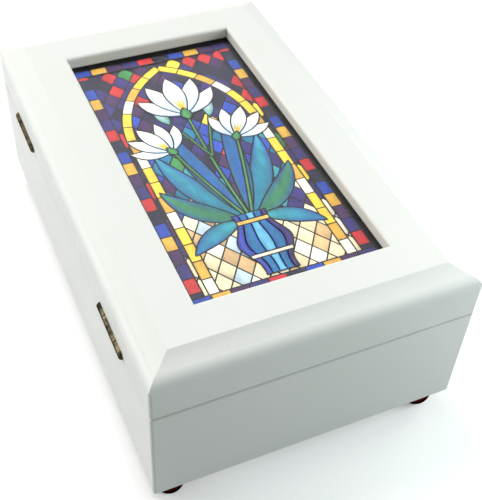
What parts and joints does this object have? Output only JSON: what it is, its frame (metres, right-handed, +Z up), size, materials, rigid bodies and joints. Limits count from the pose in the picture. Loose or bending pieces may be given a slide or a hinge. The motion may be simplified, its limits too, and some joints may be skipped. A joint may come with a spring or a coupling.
{
  "type": "musical jewelry box",
  "caption": "Rectangular white footed jewelry box with a hinged moulded lid framing a glazed picture, flocked bays, ring rolls and a wound musical movement.",
  "frame": {"origin": "on the surface the feet stand on, under the middle of the box", "axes": "+X from the hinge side to the opening side, +Y from the foot of the picture to its head, +Z up"},
  "size_m": [0.1284, 0.2032, 0.082],
  "materials": {
    "white_paint": "satin white paint over wood",
    "bottom_board": "white painted fibreboard",
    "partition_wood": "white painted wood",
    "antique_brass": "aged brass",
    "polished_brass": "polished brass",
    "steel": "plain steel",
    "glass": "clear sheet glass",
    "print": "colour print",
    "card": "brown backing board",
    "velvet": "deep blue velvet",
    "flock": "deep blue flock over moulded plastic",
    "clear_cover": "clear acrylic",
    "bed_metal": "die-cast",
    "drum_metal": "plated",
    "cylinder_brass": "bright brass",
    "key_metal": "nickel plated",
    "nylon": "moulded nylon"
  },
  "bodies": {
    "case": {"hinge_side_wall": "white_paint", "opening_side_wall": "white_paint", "near_end_wall": "white_paint", "far_end_wall": "white_paint", "bottom_panel": "bottom_board", "cross_partition": "partition_wood", "movement_partition": "partition_wood", "tray_partition": "partition_wood", "cover_ledges": "partition_wood", "near_hinge_case_leaf": "antique_brass", "far_hinge_case_leaf": "antique_brass", "hinge_pins": "antique_brass", "hinge_case_screws": "antique_brass", "near_left_foot": "polished_brass", "far_left_foot": "polished_brass", "near_right_foot": "polished_brass", "far_right_foot": "polished_brass", "foot_studs": "steel", "movement_screws": "steel", "comb_screws": "steel", "governor_screw": "steel", "comb": "steel", "ring_roll_1": "velvet", "ring_roll_2": "velvet", "ring_roll_3": "velvet", "ring_roll_4": "velvet", "ring_bay_liner": "flock", "tray_liner": "flock", "small_bay_liner": "flock", "movement_cover": "clear_cover", "movement_bed": "bed_metal", "governor_frame": "bed_metal"},
    "lid": {"lid_hinge_rail": "white_paint", "lid_opening_rail": "white_paint", "lid_near_rail": "white_paint", "lid_far_rail": "white_paint", "glass_pane": "glass", "picture_print": "print", "backing_board": "card", "backing_points": "steel", "lid_lining": "velvet", "near_hinge_lid_leaf": "antique_brass", "far_hinge_lid_leaf": "antique_brass", "hinge_lid_screws": "antique_brass"},
    "winding": {"winding_key": "key_metal", "winding_arbor": "steel"},
    "drum": {"spring_drum": "drum_metal", "drum_cap": "drum_metal", "mainspring": "steel"},
    "cylinder": {"cylinder_tube": "cylinder_brass", "cylinder_caps": "cylinder_brass", "cylinder_arbor": "steel", "cylinder_pinion": "cylinder_brass", "cylinder_wheel": "cylinder_brass"},
    "governor_train": {"governor_wheel": "nylon"},
    "governor": {"governor_worm": "steel", "governor_fan": "nylon"},
    "stop": {"stop_wire": "steel"}
  },
  "joints": [
    {"name": "lid_hinge", "type": "hinge", "parent": "case", "child": "lid", "pos_m": [-0.063, 0, 0.06035], "axis": [0, -1, 0], "range_deg": [0, 100]},
    {"name": "stop_lift", "type": "slide", "parent": "case", "child": "stop", "axis": [0, 0, 1], "range_m": [0, 0.003]},
    {"name": "key_turn", "type": "hinge", "parent": "case", "child": "winding", "pos_m": [-0.0357, 0.0626, 0.008], "axis": [0, 0, 1], "continuous": true},
    {"name": "cylinder_spin", "type": "hinge", "parent": "case", "child": "cylinder", "pos_m": [-0.01, 0.0626, 0.03547], "axis": [1, 0, 0], "continuous": true},
    {"name": "drum_spin", "type": "hinge", "parent": "case", "child": "drum", "pos_m": [-0.0357, 0.0626, 0.023], "axis": [0, 0, 1], "continuous": true},
    {"name": "governor_train_spin", "type": "hinge", "parent": "case", "child": "governor_train", "pos_m": [0, 0.0716, 0.03547], "axis": [1, 0, 0], "continuous": true},
    {"name": "governor_spin", "type": "hinge", "parent": "case", "child": "governor", "pos_m": [0.0024, 0.0792, 0.033], "axis": [0, 0, 1], "continuous": true}
  ],
  "couplings": [
    {"joint": "stop_lift", "follows": "lid_hinge", "m_per_rad": 0.0017188},
    {"joint": "drum_spin", "follows": "cylinder_spin", "ratio": 0.3125},
    {"joint": "governor_train_spin", "follows": "cylinder_spin", "ratio": -3},
    {"joint": "governor_spin", "follows": "cylinder_spin", "ratio": 72}
  ]
}
